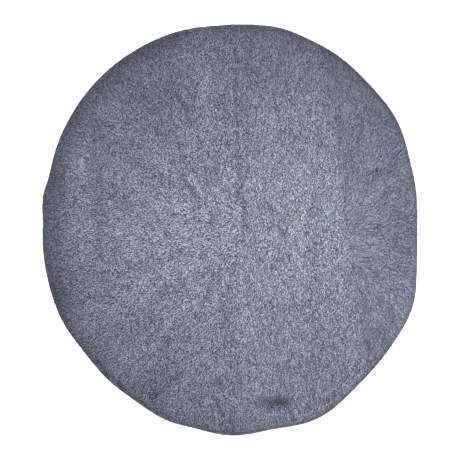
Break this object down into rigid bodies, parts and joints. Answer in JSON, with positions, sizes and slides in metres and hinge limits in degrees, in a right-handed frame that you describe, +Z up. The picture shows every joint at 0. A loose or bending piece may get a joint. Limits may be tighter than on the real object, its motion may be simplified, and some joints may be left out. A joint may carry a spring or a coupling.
{
  "type": "steel wool pad",
  "caption": "Soft round pad of steel wool, a ribbon of fibres fan-folded about its middle and closed by a rolled rim, for a floor machine.",
  "frame": {"origin": "under the middle of the pad's box, on the surface that the pad lies on", "axes": "+Z up through the pad's thickness, +Y along its longer width, towards the end where the last turn of the ribbon laps over the first"},
  "size_m": [0.409, 0.448, 0.014],
  "materials": {
    "steel_wool": "matted fine steel fibres, blue-grey, dull with small bright glints"
  },
  "bodies": {
    "root": {"steel_wool_pad": "steel_wool"}
  },
  "joints": []
}
